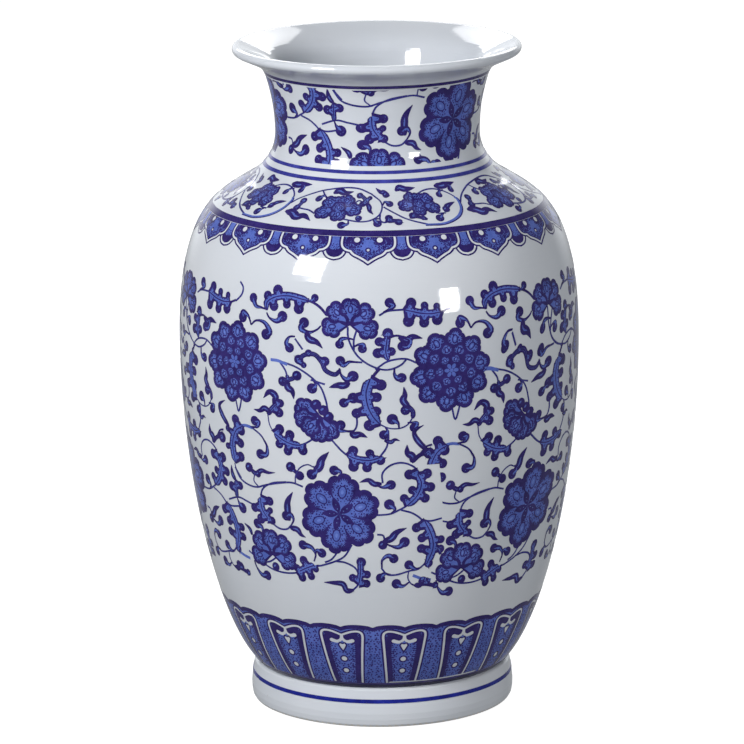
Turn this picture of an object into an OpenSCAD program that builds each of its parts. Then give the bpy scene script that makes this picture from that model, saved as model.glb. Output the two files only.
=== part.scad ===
// Tall baluster vase in blue and white porcelain. Its thrown sections are joined with slip,
// and printed transfers and painted lines lie on the outer wall. Millimetres, +Z up, with the
// origin at the centre of the foot's underside and the front of the decoration towards -Y.

/* [Size] */
// Height from the foot to the crest of the mouth
height = 330; // [326:1:340]
// Diameter across the belly
belly_d = 197.6; // [192:0.4:204]
// Height of the widest part of the belly
belly_z = 184; // [178:1:190]
// Diameter where the shoulder turns into the neck
shoulder_d = 133; // [128:1:138]
// Height where the shoulder turns into the neck
shoulder_z = 263.2; // [261:0.2:265]
// Diameter at the narrowest part of the neck
neck_d = 100.4; // [96:0.4:106]
// Height of the narrowest part of the neck
neck_z = 287; // [286:0.5:289]
// Diameter of the neck where the mouth rim is joined on
throat_d = 110.1; // [107:0.1:113]
// Height where the mouth rim is joined on
throat_z = 316; // [314:0.5:318]
// Outer diameter of the mouth rim
mouth_d = 141.8; // [136:0.2:148]
// Thickness of the wall, and of the rolled lip
wall = 4.6; // [4:0.2:5.4]

/* [Foot] */
// Widest diameter of the foot ring
foot_d = 131; // [129:0.5:134]
// Height of the foot ring
foot_h = 19.5; // [18:0.5:21]
// Inner diameter of the foot ring
foot_bore_d = 110; // [106:1:112]
// Height of the base plate's underside above the table
base_z = 8.5; // [6:0.5:10]
// Thickness of the base plate
base_t = 6; // [5:0.5:7]
// Diameter of the lower body where it meets the foot ring
heel_d = 124; // [122:0.5:125]

/* [Curve] */
// Slope of the wall as it leaves the foot, in degrees above level
heel_slope = 43.7; // [40:0.1:48]
// How far the heel's slope carries up the wall
heel_pull = 27.7; // [24:0.1:32]
// How far the belly's upright stretch carries down the wall
belly_down = 70.5; // [60:0.5:80]
// How far the belly's upright stretch carries up the wall
belly_up = 64.4; // [60:0.2:67]
// Slope of the shoulder where it turns into the neck, in degrees above level
shoulder_slope = 33.2; // [30:0.2:37]
// How far the shoulder's slope carries back towards the belly
shoulder_pull = 16.1; // [14:0.1:18]
// How far the neck's upright stretch carries down to the shoulder
neck_down = 16.6; // [14:0.1:18]
// Slope of the neck's wall where the mouth rim is joined on, in degrees above level
throat_slope = 71.5; // [68:0.5:76]
// Slope of the rim's underside at the lip, in degrees above level
lip_slope = 25; // [18:1:30]

/* [Joints] */
// Thickness of the slip between two sections
slip_t = 0.6; // [0.4:0.1:1]
// Height of the joint between the neck and the body
neck_joint_z = 273.4; // [272.5:0.1:274.5]

/* [Decoration] */
// Thickness of the transfers and painted lines
film = 0.2; // [0.1:0.05:0.4]
// Width of a fine painted line
fine_line = 1.5; // [0.8:0.1:1.6]
// Width of the line around the foot
foot_line_w = 1.9; // [1.5:0.1:2.4]
// Width of the heavy line on the shoulder
heavy_line = 2.4; // [1.8:0.2:3]
// Width of the dark band at the bottom of the body
heel_band = 2; // [1.2:0.2:2.4]
// Height of the line under the mouth rim
neck_top_line_z = 317.15; // [317.15:0.05:318]
// Height of the upper line at the bottom of the neck
neck_upper_line_z = 275.3; // [275:0.1:275.6]
// Height of the lower line at the bottom of the neck
neck_lower_line_z = 271.4; // [271:0.1:272]
// Height of the middle of the heavy shoulder line
shoulder_line_z = 251.3; // [251:0.1:252]
// Height of the line around the foot
foot_line_z = 13.4; // [12:0.1:15]
// Bottom and top of the scroll on the neck
neck_scroll = [278.2, 315.6];
// Bottom and top of the scroll on the shoulder
shoulder_scroll = [253.0, 270.2];
// Bottom and top of the lappet collar under the shoulder line
collar = [237.2, 249.8];
// Bottom and top of the scroll on the body
body_scroll = [73, 227.2];
// Bottom and top of the petals above the foot
petals = [22.4, 57.4];
// Gap where two edges of a transfer meet
seam_gap = 0.3; // [0.2:0.1:0.6]
// Angle that one sheet of the body scroll covers, in degrees
sheet_sweep = 65.45; // [62:0.05:71]
// Where the front sheet's left seam lies, in degrees right of the front
first_seam = -41.8; // [-60:0.2:0]

/* [Hidden] */
$fn = 96;

belly_r = belly_d / 2;
foot_r = foot_d / 2;
foot_bore_r = foot_bore_d / 2;
neck_r = neck_d / 2;
lip_r = wall / 2;
foot_round = 1.5;
heel_fillet = 11;
plate_gap = 0.5;
curve_steps = 16;
front = -90;

porcelain = "#dde3ea";
dry_slip = "#ece8dd";
cobalt = "#2b3a9c";

// A direction in the r, z plane, in degrees above level
function heading(angle) = [cos(angle), sin(angle)];

// A cubic curve as [point, outward normal] pairs, without its last point
function curve(a, b, c, d, steps) = [
    for (i = [0 : steps - 1])
        let (
            t = i / steps,
            s = 1 - t,
            point = s * s * s * a + 3 * s * s * t * b + 3 * s * t * t * c + t * t * t * d,
            along = s * s * (b - a) + 2 * s * t * (c - b) + t * t * (d - c),
            unit = along / norm(along)
        )
        [point, [unit[1], -unit[0]]]
];

// Knots of the outer wall, as [radius, height]
heel = [heel_d / 2, foot_h];
belly = [belly_r, belly_z];
shoulder = [shoulder_d / 2, shoulder_z];
waist = [neck_r, neck_z];
throat = [throat_d / 2, throat_z];
lip_centre = [mouth_d / 2 - lip_r, height - lip_r];
lip_under = lip_centre - lip_r * heading(lip_slope + 90);

flare = 5;
lip_reach = 7;
neck_up = (throat_z - neck_z) / 3;

outer_wall = concat(
    curve(heel, heel + heel_pull * heading(heel_slope), belly - [0, belly_down], belly, 2 * curve_steps),
    curve(
        belly,
        belly + [0, belly_up],
        shoulder - shoulder_pull * heading(180 - shoulder_slope),
        shoulder,
        2 * curve_steps
    ),
    curve(
        shoulder,
        shoulder + 2 * heading(180 - shoulder_slope),
        waist - [0, neck_down],
        waist,
        curve_steps
    ),
    curve(waist, waist + [0, neck_up], throat - neck_up * heading(throat_slope), throat, curve_steps / 2),
    curve(
        throat,
        throat + flare * heading(throat_slope),
        lip_under - lip_reach * heading(lip_slope),
        lip_under,
        curve_steps
    ),
    [[lip_under, -heading(lip_slope + 90)]]
);

// The outer wall by height, as tables for lookup()
radius_at = [for (w = outer_wall) [w[0][1], w[0][0]]];
normal_r_at = [for (w = outer_wall) [w[0][1], w[1][0]]];
normal_z_at = [for (w = outer_wall) [w[0][1], w[1][1]]];

// The inner wall by height: a thick heel over the foot, then the outer wall less its thickness
offset_wall = [for (w = outer_wall) w[0] - wall * w[1]];
inner_at = concat(
    [[foot_h, foot_bore_r]],
    [for (p = offset_wall) if (p[1] > foot_h + heel_fillet) [p[1], p[0]]]
);
mouth_inner_z = inner_at[len(inner_at) - 1][0];

// Heights of a table's points between two heights, with both ends
function heights(table, low, high) = concat(
    [low],
    [for (row = table) if (row[0] > low + 0.05 && row[0] < high - 0.05) row[0]],
    [high]
);

function reversed(list) = [for (i = [len(list) - 1 : -1 : 0]) list[i]];

function on_table(table, low, high) = [for (z = heights(table, low, high)) [lookup(z, table), z]];

// A point on the outer wall, moved out by a thickness
function proud(z, thickness) =
    [lookup(z, radius_at) + thickness * lookup(z, normal_r_at), z + thickness * lookup(z, normal_z_at)];

// One section of the wall between two level cuts
module wall_section(low, high) {
    rotate_extrude()
        polygon(concat(on_table(radius_at, low, high), reversed(on_table(inner_at, low, high))));
}

// A film on the outer wall between two heights, all the way round or between two angles
module wall_film(low, high, from = 0, sweep = 360) {
    levels = heights(radius_at, low, high);
    rotate_extrude(angle = sweep, start = from)
        polygon(concat(
            [for (z = levels) proud(z, 0)],
            [for (z = reversed(levels)) proud(z, film)]
        ));
}

// A transfer wrapped once around the wall, its two edges meeting at a seam
module wrapped_transfer(span, seam) {
    gap = seam_gap / lookup(span[0], radius_at) * 180 / PI;
    wall_film(span[0], span[1], front + seam + gap / 2, 360 - gap);
}

// One sheet of the body scroll: its left seam is a whole number of sheets from the first seam
module body_sheet(place, sweep = sheet_sweep) {
    gap = seam_gap / belly_r * 180 / PI;
    seam = first_seam + place * sheet_sweep;
    wall_film(body_scroll[0], body_scroll[1], front + seam + gap / 2, sweep - gap);
}

module painted_line(z, width) {
    wall_film(z - width / 2, z + width / 2);
}

// The foot's outer side, from the table up to the ledge under the body
function foot_side() = [
    [foot_r - 2.2, 0],
    [foot_r - 1.2, 0.4],
    [foot_r - 0.5, 1.6],
    [foot_r - 0.1, 4],
    [foot_r, 7],
    [foot_r - 0.4, 11],
    [foot_r - 0.9, 14.6],
    [foot_r - 1.6, foot_h - 1.1],
    [foot_r - 2.1, foot_h - 0.35],
    [foot_r - 2.8, foot_h],
];

foot_table = [for (p = foot_side()) [p[1], p[0]]];

module foot_ring() {
    color(porcelain)
        rotate_extrude()
            polygon(concat(
                foot_side(),
                [
                    [foot_bore_r, foot_h],
                    [foot_bore_r, foot_round],
                    [foot_bore_r + foot_round, 0],
                ]
            ));
}

module base_plate() {
    color(porcelain)
        translate([0, 0, base_z])
            cylinder(r = foot_bore_r - plate_gap, h = base_t);
}

module base_joint_slip() {
    color(dry_slip)
        translate([0, 0, base_z])
            difference() {
                cylinder(r = foot_bore_r, h = base_t);
                translate([0, 0, -1])
                    cylinder(r = foot_bore_r - plate_gap, h = base_t + 2);
            }
}

module lower_body() {
    color(porcelain)
        wall_section(foot_h + slip_t, belly_z - slip_t / 2);
}

module upper_body() {
    color(porcelain)
        wall_section(belly_z + slip_t / 2, neck_joint_z - slip_t / 2);
}

module neck() {
    color(porcelain)
        wall_section(neck_joint_z + slip_t / 2, throat_z - slip_t / 2);
}

// The flared rim: underside, rolled lip, then down the inside of the mouth
module mouth_rim() {
    low = throat_z + slip_t / 2;
    roll = [for (i = [1 : 11]) lip_centre + lip_r * heading(lip_slope - 90 + 15 * i)];
    color(porcelain)
        rotate_extrude()
            polygon(concat(
                on_table(radius_at, low, lip_under[1]),
                roll,
                reversed(on_table(inner_at, low, mouth_inner_z))
            ));
}

module foot_joint_slip() {
    color(dry_slip)
        wall_section(foot_h, foot_h + slip_t);
}

module belly_joint_slip() {
    color(dry_slip)
        wall_section(belly_z - slip_t / 2, belly_z + slip_t / 2);
}

module neck_joint_slip() {
    color(dry_slip)
        wall_section(neck_joint_z - slip_t / 2, neck_joint_z + slip_t / 2);
}

module rim_joint_slip() {
    color(dry_slip)
        wall_section(throat_z - slip_t / 2, throat_z + slip_t / 2);
}

module neck_scroll_transfer() {
    color(cobalt)
        wrapped_transfer(neck_scroll, 180);
}

module shoulder_scroll_transfer() {
    color(cobalt)
        wrapped_transfer(shoulder_scroll, 180);
}

module collar_transfer() {
    color(cobalt)
        wrapped_transfer(collar, 27);
}

module body_scroll_sheet_1() {
    color(cobalt)
        body_sheet(0);
}

module body_scroll_sheet_2() {
    color(cobalt)
        body_sheet(1);
}

module body_scroll_sheet_3() {
    color(cobalt)
        body_sheet(2);
}

module body_scroll_sheet_4() {
    color(cobalt)
        body_sheet(3);
}

module body_scroll_sheet_5() {
    color(cobalt)
        body_sheet(-1);
}

// The trimmed sheet that fills what is left at the back
module body_scroll_end_sheet() {
    color(cobalt)
        body_sheet(4, 360 - 5 * sheet_sweep);
}

module petal_transfer() {
    color(cobalt)
        wrapped_transfer(petals, -25);
}

module neck_top_line() {
    color(cobalt)
        painted_line(neck_top_line_z, fine_line);
}

module neck_upper_line() {
    color(cobalt)
        painted_line(neck_upper_line_z, fine_line);
}

module neck_lower_line() {
    color(cobalt)
        painted_line(neck_lower_line_z, fine_line);
}

module shoulder_line() {
    color(cobalt)
        painted_line(shoulder_line_z, heavy_line);
}

module heel_line() {
    color(cobalt)
        wall_film(foot_h + slip_t, foot_h + slip_t + heel_band);
}

module foot_line() {
    low = foot_line_z - foot_line_w / 2;
    high = foot_line_z + foot_line_w / 2;
    color(cobalt)
        rotate_extrude()
            polygon([
                [lookup(low, foot_table), low],
                [lookup(low, foot_table) + film, low],
                [lookup(high, foot_table) + film, high],
                [lookup(high, foot_table), high],
            ]);
}

foot_ring();
base_plate();
lower_body();
upper_body();
neck();
mouth_rim();
base_joint_slip();
foot_joint_slip();
belly_joint_slip();
neck_joint_slip();
rim_joint_slip();
neck_scroll_transfer();
shoulder_scroll_transfer();
collar_transfer();
body_scroll_sheet_1();
body_scroll_sheet_2();
body_scroll_sheet_3();
body_scroll_sheet_4();
body_scroll_sheet_5();
body_scroll_end_sheet();
petal_transfer();
neck_top_line();
neck_upper_line();
neck_lower_line();
shoulder_line();
heel_line();
foot_line();
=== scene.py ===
"""Blue and white baluster vase: glazed porcelain with cobalt transfer prints and painted lines.

Every print is drawn flat, in millimetres, with u running right around the wall and v up it. The flat
drawing is cut into triangles by ink, and the inked triangles are laid on the wall as a thin solid film.
"""

import math
import random

import bpy
import numpy as np
from mathutils import Matrix, Vector
from mathutils.geometry import delaunay_2d_cdt


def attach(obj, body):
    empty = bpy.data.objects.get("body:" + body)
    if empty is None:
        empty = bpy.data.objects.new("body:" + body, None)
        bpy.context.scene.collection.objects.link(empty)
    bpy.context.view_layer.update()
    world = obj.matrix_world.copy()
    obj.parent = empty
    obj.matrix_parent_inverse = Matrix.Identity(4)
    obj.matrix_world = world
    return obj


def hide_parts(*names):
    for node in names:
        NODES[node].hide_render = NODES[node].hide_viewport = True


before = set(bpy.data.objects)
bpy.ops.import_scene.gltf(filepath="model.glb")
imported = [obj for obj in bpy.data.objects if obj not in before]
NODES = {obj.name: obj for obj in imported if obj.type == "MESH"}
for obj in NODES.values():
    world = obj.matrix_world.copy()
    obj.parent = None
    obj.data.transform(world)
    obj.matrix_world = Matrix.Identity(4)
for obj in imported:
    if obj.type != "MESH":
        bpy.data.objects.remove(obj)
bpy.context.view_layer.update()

MM = 0.001
TURN = 2 * math.pi
rng = random.Random(7)

# Inks of the flat drawings; NONE takes ink away again
NONE, DARK, MID, PALE, LINE = 0, 1, 2, 3, 4

# How far a print stands above the wall and how far it reaches into it, in mm
FILM_TOP = 0.06
FILM_BOTTOM = -0.03

# How much wider than drawn the ink's round shapes run as the glaze melts
SPREAD = 1.09

# Faces that turn outwards less than this belong to the rim's top or the inner wall
OUTWARD = 0.15

# Widths of the scrolls' stems and side shoots, in mm
STEM = 0.95
TWIG = 0.7


def added(name, data):
    """A new object in the scene."""
    thing = bpy.data.objects.new(name, data)
    bpy.context.collection.objects.link(thing)
    return thing


# ---- the wall, read from the frame

def outer_rings(names):
    """(height, radius) of every ring of vertices on the outer wall of these CAD nodes, in mm."""
    rings = {}
    for name in names:
        mesh = NODES[name].data
        for face in mesh.polygons:
            centre = face.center
            outward = face.normal.x * centre.x + face.normal.y * centre.y
            if outward < OUTWARD * math.hypot(centre.x, centre.y):
                continue
            for i in face.vertices:
                corner = mesh.vertices[i].co
                z = round(corner.z / MM, 2)
                rings[z] = max(rings.get(z, 0), math.hypot(corner.x, corner.y) / MM)
    return np.array(sorted(rings.items()))


class Wall:
    """The outer wall as a smooth curve through the CAD rings."""

    def __init__(self, names, low, high):
        rings = outer_rings(names)
        self.z = rings[:, 0]
        self.r = rings[:, 1]
        self.fine_z = np.linspace(low, high, 4000)
        self.fine_r = self.smooth(self.fine_z)
        self.slope = np.gradient(self.fine_r, self.fine_z)
        steps = np.hypot(np.diff(self.fine_z), np.diff(self.fine_r))
        self.fine_arc = np.concatenate([[0], np.cumsum(steps)])

    def smooth(self, z):
        """A cubic through the rings, with each ring's slope taken from its neighbours."""
        slopes = np.gradient(self.r, self.z)
        i = np.clip(np.searchsorted(self.z, z) - 1, 0, len(self.z) - 2)
        span = self.z[i + 1] - self.z[i]
        t = (z - self.z[i]) / span
        a = (1 + 2 * t) * (1 - t) ** 2 * self.r[i] + t * (1 - t) ** 2 * span * slopes[i]
        b = t * t * (3 - 2 * t) * self.r[i + 1] + t * t * (t - 1) * span * slopes[i + 1]
        return a + b

    def radius(self, z):
        return np.interp(z, self.fine_z, self.fine_r)

    def normal(self, z):
        """Outward normal in the (radius, height) plane."""
        slope = np.interp(z, self.fine_z, self.slope)
        length = np.hypot(1, slope)
        return 1 / length, -slope / length

    def height_at(self, arc, start):
        """The height that lies a given way up the wall from a starting height."""
        offset = np.interp(start, self.fine_z, self.fine_arc)
        return np.interp(arc + offset, self.fine_arc, self.fine_z)


def on_wall(wall, theta, z, lift):
    """Points in metres on the wall, theta radians right of the front, lifted along the normal."""
    nr, nz = wall.normal(z)
    r = (wall.radius(z) + nr * lift) * MM
    return np.stack([r * np.sin(theta), -r * np.cos(theta), (z + nz * lift) * MM], -1)


def wall_normals(wall, theta, z):
    """The wall's outward normals at the same points."""
    nr, nz = wall.normal(z)
    return np.stack([nr * np.sin(theta), -nr * np.cos(theta), nz], -1)


# ---- flat outlines

def smooth_path(points, steps=5):
    """A Catmull-Rom curve through the points."""
    p = np.array(points, float)
    if len(p) < 3:
        return p
    p = np.vstack([2 * p[0] - p[1], p, 2 * p[-1] - p[-2]])
    out = []
    for i in range(1, len(p) - 2):
        for k in range(steps):
            t = k / steps
            a = 2 * p[i]
            b = p[i + 1] - p[i - 1]
            c = 2 * p[i - 1] - 5 * p[i] + 4 * p[i + 1] - p[i + 2]
            d = -p[i - 1] + 3 * p[i] - 3 * p[i + 1] + p[i + 2]
            out.append((a + b * t + c * t * t + d * t ** 3) / 2)
    out.append(p[-2])
    return np.array(out)


def along(path):
    """How far along a path each point is, from 0 to 1."""
    steps = np.concatenate([[0], np.cumsum(np.hypot(*np.diff(path, axis=0).T))])
    return steps / max(steps[-1], 1e-9)


def sides(path):
    """The left-hand normal at each point of a path."""
    t = np.gradient(path, axis=0)
    t /= np.maximum(np.hypot(t[:, 0], t[:, 1]), 1e-9)[:, None]
    return np.stack([-t[:, 1], t[:, 0]], -1)


def ribbon(path, widths, stops=None):
    """The outline of a stroke whose width changes along its path."""
    t = along(path)
    stops = np.linspace(0, 1, len(widths)) if stops is None else stops
    half = np.interp(t, stops, widths)[:, None] / 2
    n = sides(path)
    return np.vstack([path + n * half, (path - n * half)[::-1]])


def disc(x, y, r, corners=12):
    a = np.arange(corners) * TURN / corners
    return np.stack([x + r * np.cos(a), y + r * np.sin(a)], -1)


def oval(x, y, long, short, turn, corners=14):
    """An ellipse from its half-axes, turned by degrees."""
    a = np.arange(corners) * TURN / corners
    p = np.stack([long * np.cos(a), short * np.sin(a)], -1)
    return turned(p, turn) + (x, y)


def turned(points, degrees):
    """Points turned about the origin, counter-clockwise."""
    a = math.radians(degrees)
    c, s = math.cos(a), math.sin(a)
    return np.asarray(points, float) @ np.array([[c, s], [-s, c]])


def grown(outline, by):
    """A closed outline moved outwards with sharp corners, for outlines drawn counter-clockwise."""
    step = np.roll(outline, -1, 0) - outline
    step /= np.maximum(np.hypot(step[:, 0], step[:, 1]), 1e-9)[:, None]
    ahead = np.stack([step[:, 1], -step[:, 0]], -1)
    behind = np.roll(ahead, 1, 0)
    both = ahead + behind
    stretch = np.maximum((both ** 2).sum(1) / 2, 0.45)
    return outline + both / stretch[:, None] * by


def mirrored(half):
    """A closed outline from its right half, listed from the bottom up."""
    half = np.array(half, float)
    left = half[::-1] * (-1, 1)
    return np.vstack([half, left[left[:, 0] < -1e-6]])


# ---- the flat drawing and its motifs

def point_at(x, y, heading, reach):
    """The point that lies a given reach from (x, y)."""
    return turned([(reach, 0)], heading)[0] + (x, y)


class Print:
    """A flat drawing: shapes painted one over the other."""

    def __init__(self):
        self.shapes = []

    def fill(self, outline, ink=DARK):
        """Paints a closed outline over everything painted before it."""
        self.shapes.append((np.asarray(outline, float), ink))

    def row(self, motif, count, pitch):
        """Paints a motif side by side, centred on the front."""
        for i in range(count):
            x = (i - (count - 1) / 2) * pitch
            self.shapes += [(outline + (x, 0), ink) for outline, ink in motif.shapes]

    def line(self, points, width, ink=DARK):
        path = smooth_path(points)
        self.fill(ribbon(path, [width, width]), ink)

    def bulb(self, x, y, r):
        """A round dark bud with a touch of blue."""
        self.fill(disc(x, y, SPREAD * r))
        self.fill(oval(x - 0.25 * r, y + 0.2 * r, 0.38 * r, 0.2 * r, 40, 8), MID)

    def comma(self, points, r=2.3):
        """A tendril that swells into a round bud at its last point."""
        path = smooth_path(points)
        r = SPREAD * r
        self.fill(ribbon(path, [0.8, 1.1, 1.15 * r, 1.5 * r], [0, 0.3, 0.8, 1]))
        self.fill(disc(*path[-1], r, 14))
        core = path[along(path) > 0.3]
        core = core + sides(core) * (0.1 * r)
        self.fill(ribbon(core, [0.1, 0.3 * r, 0.45 * r, 0.1]), MID)
        x, y = path[-1]
        self.dots([(x + 0.4 * r, y - 0.2 * r), (x - 0.1 * r, y - 0.5 * r)], 0.18, MID)
        self.dots(core[2:-2:3] + sides(core)[2:-2:3] * 0.1 * r, 0.28)

    def flame(self, points, width=2.9):
        """A waving leaf that runs out to a thin tip."""
        path = smooth_path(points)
        width = SPREAD * width
        widths = [1.2, 1.05 * width, 1.15 * width, 0.7 * width, 0.3]
        self.fill(ribbon(path, widths, [0, 0.15, 0.45, 0.75, 1]))
        t = along(path)
        core = path[(t > 0.15) & (t < 0.6)]
        self.fill(ribbon(core, [0.1, 0.22 * width, 0.25 * width, 0.1]), MID)
        self.dots(core[1::3] + sides(core)[1::3] * 0.1 * width, 0.28)

    def dots(self, places, r, ink=DARK):
        for x, y in places:
            self.fill(disc(x, y, r * rng.uniform(0.75, 1.25), 6), ink)

    def stipple(self, low, high, gap, r, keep=lambda x, y: True):
        """Dots at loose, even spacing over a rectangle, where keep allows."""
        for row, y in enumerate(np.arange(low[1], high[1], 0.87 * gap)):
            for x in np.arange(low[0] + (row % 2) * gap / 2, high[0], gap):
                px = x + gap * rng.uniform(-0.28, 0.28)
                py = y + gap * rng.uniform(-0.28, 0.28)
                if keep(px, py):
                    self.dots([(px, py)], r)

    def leaf(self, spine, lobes, width=3.6):
        """A scrolling leaf: a blue body on a dark vein, edged with round dark lobes."""
        path = smooth_path(spine)
        stops = [0, 0.12, 0.5, 0.88, 1]
        arms = []
        for x, y, r in lobes:
            root = path[int(np.argmin(np.hypot(*(path - (x, y)).T)))]
            arms.append((root, np.array([x, y]), SPREAD * r))
        width = SPREAD * width
        self.fill(ribbon(path, [1.2, width, width, width, 1.2], stops))
        for root, tip, r in arms:
            self.fill(ribbon(np.array([root, tip]), [2.6 * r, 1.5 * r]))
            self.fill(disc(*tip, r, 14))
        blue = width - 1.6
        self.fill(ribbon(path, [0.2, blue, blue, blue, 0.2], stops), MID)
        for root, tip, r in arms:
            reach = root + (tip - root) * 0.48
            self.fill(ribbon(np.array([root, reach]), [1.3 * r, 0.7 * r]), MID)
            self.fill(disc(*reach, 0.35 * r, 10), MID)
        self.fill(ribbon(path, [0.6, 0.6]))
        out = sides(path)
        for side in (-1, 1):
            self.dots(path[2:-1:2] + out[2:-1:2] * side * 0.27 * width, 0.34)
        for root, tip, r in arms:
            self.dots([root + (tip - root) * 0.45 + (rng.uniform(-0.4, 0.4), 0.3)], 0.34)
            specks = [tip + (rng.uniform(-0.4, 0.4) * r, rng.uniform(-0.4, 0.4) * r) for _ in range(2)]
            self.dots(specks, 0.22, MID)

    def petal(self, x, y, heading, reach, head, border, lobes, dots, stage, loop=0.36):
        """One petal: a scalloped dark head, or at its other stage a fringed blue inside and a loop."""
        phi = np.radians(np.linspace(-140, 140, 12 * lobes + 1))
        bumps = np.abs(np.sin(np.linspace(0, lobes * math.pi, len(phi)))) ** 0.6
        edge = head * (0.86 + 0.16 * bumps)
        if stage == "dark":
            rim = np.stack([reach + edge * np.cos(phi), edge * np.sin(phi)], -1)
            self.fill(turned(np.vstack([[(0, 0)], rim]), heading) + (x, y))
            return
        fringe = np.where(np.arange(len(phi)) % 2 == 0, 1.1, 0.8)
        inner = np.maximum(edge - border, 0.3) * fringe
        rim = np.stack([reach + inner * np.cos(phi), inner * np.sin(phi)], -1)
        root = (max(reach - 1.25 * head, 0.0), 0)
        self.fill(turned(np.vstack([[root], rim]), heading) + (x, y), MID)
        blue = head - border
        spread = []
        for i in range(dots):
            a = math.radians(-150 + 300 * (i + rng.uniform(0.1, 0.9)) / dots)
            d = blue * rng.uniform(0.5, 0.88)
            spread.append((reach + d * math.cos(a), d * math.sin(a)))
        if spread:
            self.dots(turned(spread, heading) + (x, y), min(0.46, 0.1 * head))
        if loop:
            cx, cy = point_at(x, y, heading, reach)
            self.loop(cx, cy, loop * head, heading)

    def loop(self, x, y, ring, heading):
        """The small outlined eye that sits in every petal."""
        line = min(0.62, 0.34 * ring)
        self.fill(oval(x, y, ring, 0.68 * ring, heading, 14))
        self.fill(oval(x, y, ring - line, 0.68 * ring - line, heading, 12), MID)
        self.fill(oval(x, y, 0.35 * ring, 0.2 * ring, heading, 8), PALE)

    def petals(self, x, y, headings, root, reach, head, border, lobes, dots, loop=0.36):
        """A ring of petals whose dark heads all lie under their blue insides."""
        for stage in ("dark", "blue"):
            for heading in headings:
                rx, ry = point_at(x, y, heading, root)
                self.petal(rx, ry, heading, reach, head, border, lobes, dots, stage, loop)

    def peony(self, x, y, r):
        """A full flower of four rings of petals, the outermost drawn first."""
        self.fill(disc(x, y, 0.8 * r, 30))
        for count, centre, head, start in ((10, 0.74, 0.265, 8), (9, 0.5, 0.19, 25), (6, 0.28, 0.15, 5)):
            headings = [start + 360 * i / count + rng.uniform(-3, 3) for i in range(count)]
            reach = 0.5 * head * r
            border = min(2.0, 0.38 * head * r)
            self.petals(x, y, headings, centre * r - reach, reach, head * r, border, 3, 9, 0.42)
        self.fill(disc(x, y, 0.19 * r, 20))
        for i in range(6):
            px, py = point_at(x, y, 60 * i, 0.11 * r)
            self.fill(oval(px, py, 0.065 * r, 0.045 * r, 60 * i, 10), MID)
        self.fill(disc(x, y, 0.045 * r, 8), MID)

    def star(self, x, y, r, count, start):
        """Pointed dark petals at a flower's heart, dotted with light specks."""
        half = [(0, 0), (0.3 * r, 0.17 * r), (0.62 * r, 0.2 * r), (r, 0)]
        almond = smooth_path(half + [(px, -py) for px, py in half[-2::-1]], 3)
        for i in range(count):
            self.fill(turned(almond, start + 360 * i / count) + (x, y))
        for i in range(count):
            a = start + 360 * i / count
            on_axis = turned([(0.3 * r, 0), (0.55 * r, 0)], a)
            specks = np.vstack([on_axis, turned([(0.2 * r, 0)], a + 180 / count)])
            self.dots(specks + (x, y), 0.26, PALE)

    def lotus(self, x, y, r, start=80):
        """An open flower of six broad petals about a dark star."""
        headings = [start + 60 * i for i in range(6)]
        self.petals(x, y, headings, 0, 0.6 * r, 0.41 * r, 0.145 * r, 5, 0, 0)
        self.fill(disc(x, y, 0.5 * r, 30), MID)
        for heading in headings:
            split = turned([(0.8 * r, 0), (0.62 * r, 0.2), (0.42 * r, -0.2), (0.3 * r, 0)], heading + 30)
            self.fill(ribbon(split + (x, y), [0.14 * r, 0.075 * r, 0.035 * r, 0.02 * r]))
        self.stipple((x - 0.8 * r, y - 0.8 * r), (x + 0.8 * r, y + 0.8 * r), 1.5, 0.42,
                     lambda px, py: 0.3 * r < math.hypot(px - x, py - y) < 0.8 * r)
        for heading in headings:
            cx, cy = point_at(x, y, heading, 0.55 * r)
            self.loop(cx, cy, 0.165 * r, heading)
        self.star(x, y, 0.43 * r, 5, 108)

    def fan(self, x, y, heading, size, spread=49):
        """A half-open flower seen from the side: five petals spread from one root."""
        for turns, reach in (((-2, 2), 0.68), ((-1, 1), 0.68), ((0,), 0.6)):
            headings = [heading + turn * spread for turn in turns]
            self.petals(x, y, headings, 0, reach * size, 0.44 * size, 1.7, 4, 20)
        for turn in (-1.5, -0.5, 0.5, 1.5):
            tip = point_at(x, y, heading + turn * spread, 0.5 * size)
            self.fill(ribbon(np.linspace((x, y), tip, 4), [0.5, 0.16 * size, 0.12 * size, 0.1]))
        self.dots(turned([(0.17 * size, 0)], heading) + (x, y), 0.3, PALE)


# ---- from a flat drawing to a film

def inside(outline, points):
    """Winding number of each point within a closed outline."""
    a = outline
    b = np.roll(outline, -1, 0)
    px = points[:, 0][:, None]
    py = points[:, 1][:, None]
    cross = (b[:, 0] - a[:, 0]) * (py - a[:, 1]) - (px - a[:, 0]) * (b[:, 1] - a[:, 1])
    up = (a[:, 1] <= py) & (b[:, 1] > py) & (cross > 0)
    down = (a[:, 1] > py) & (b[:, 1] <= py) & (cross < 0)
    return up.sum(1) - down.sum(1)


def fine(outline, spacing):
    """A closed outline with points added, so that no edge is longer than the spacing."""
    step = np.roll(outline, -1, 0) - outline
    parts = np.ceil(np.hypot(step[:, 0], step[:, 1]) / spacing).astype(int)
    parts = np.maximum(parts, 1)
    return np.vstack([a + d * (np.arange(n) / n)[:, None] for a, d, n in zip(outline, step, parts)])


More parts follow.
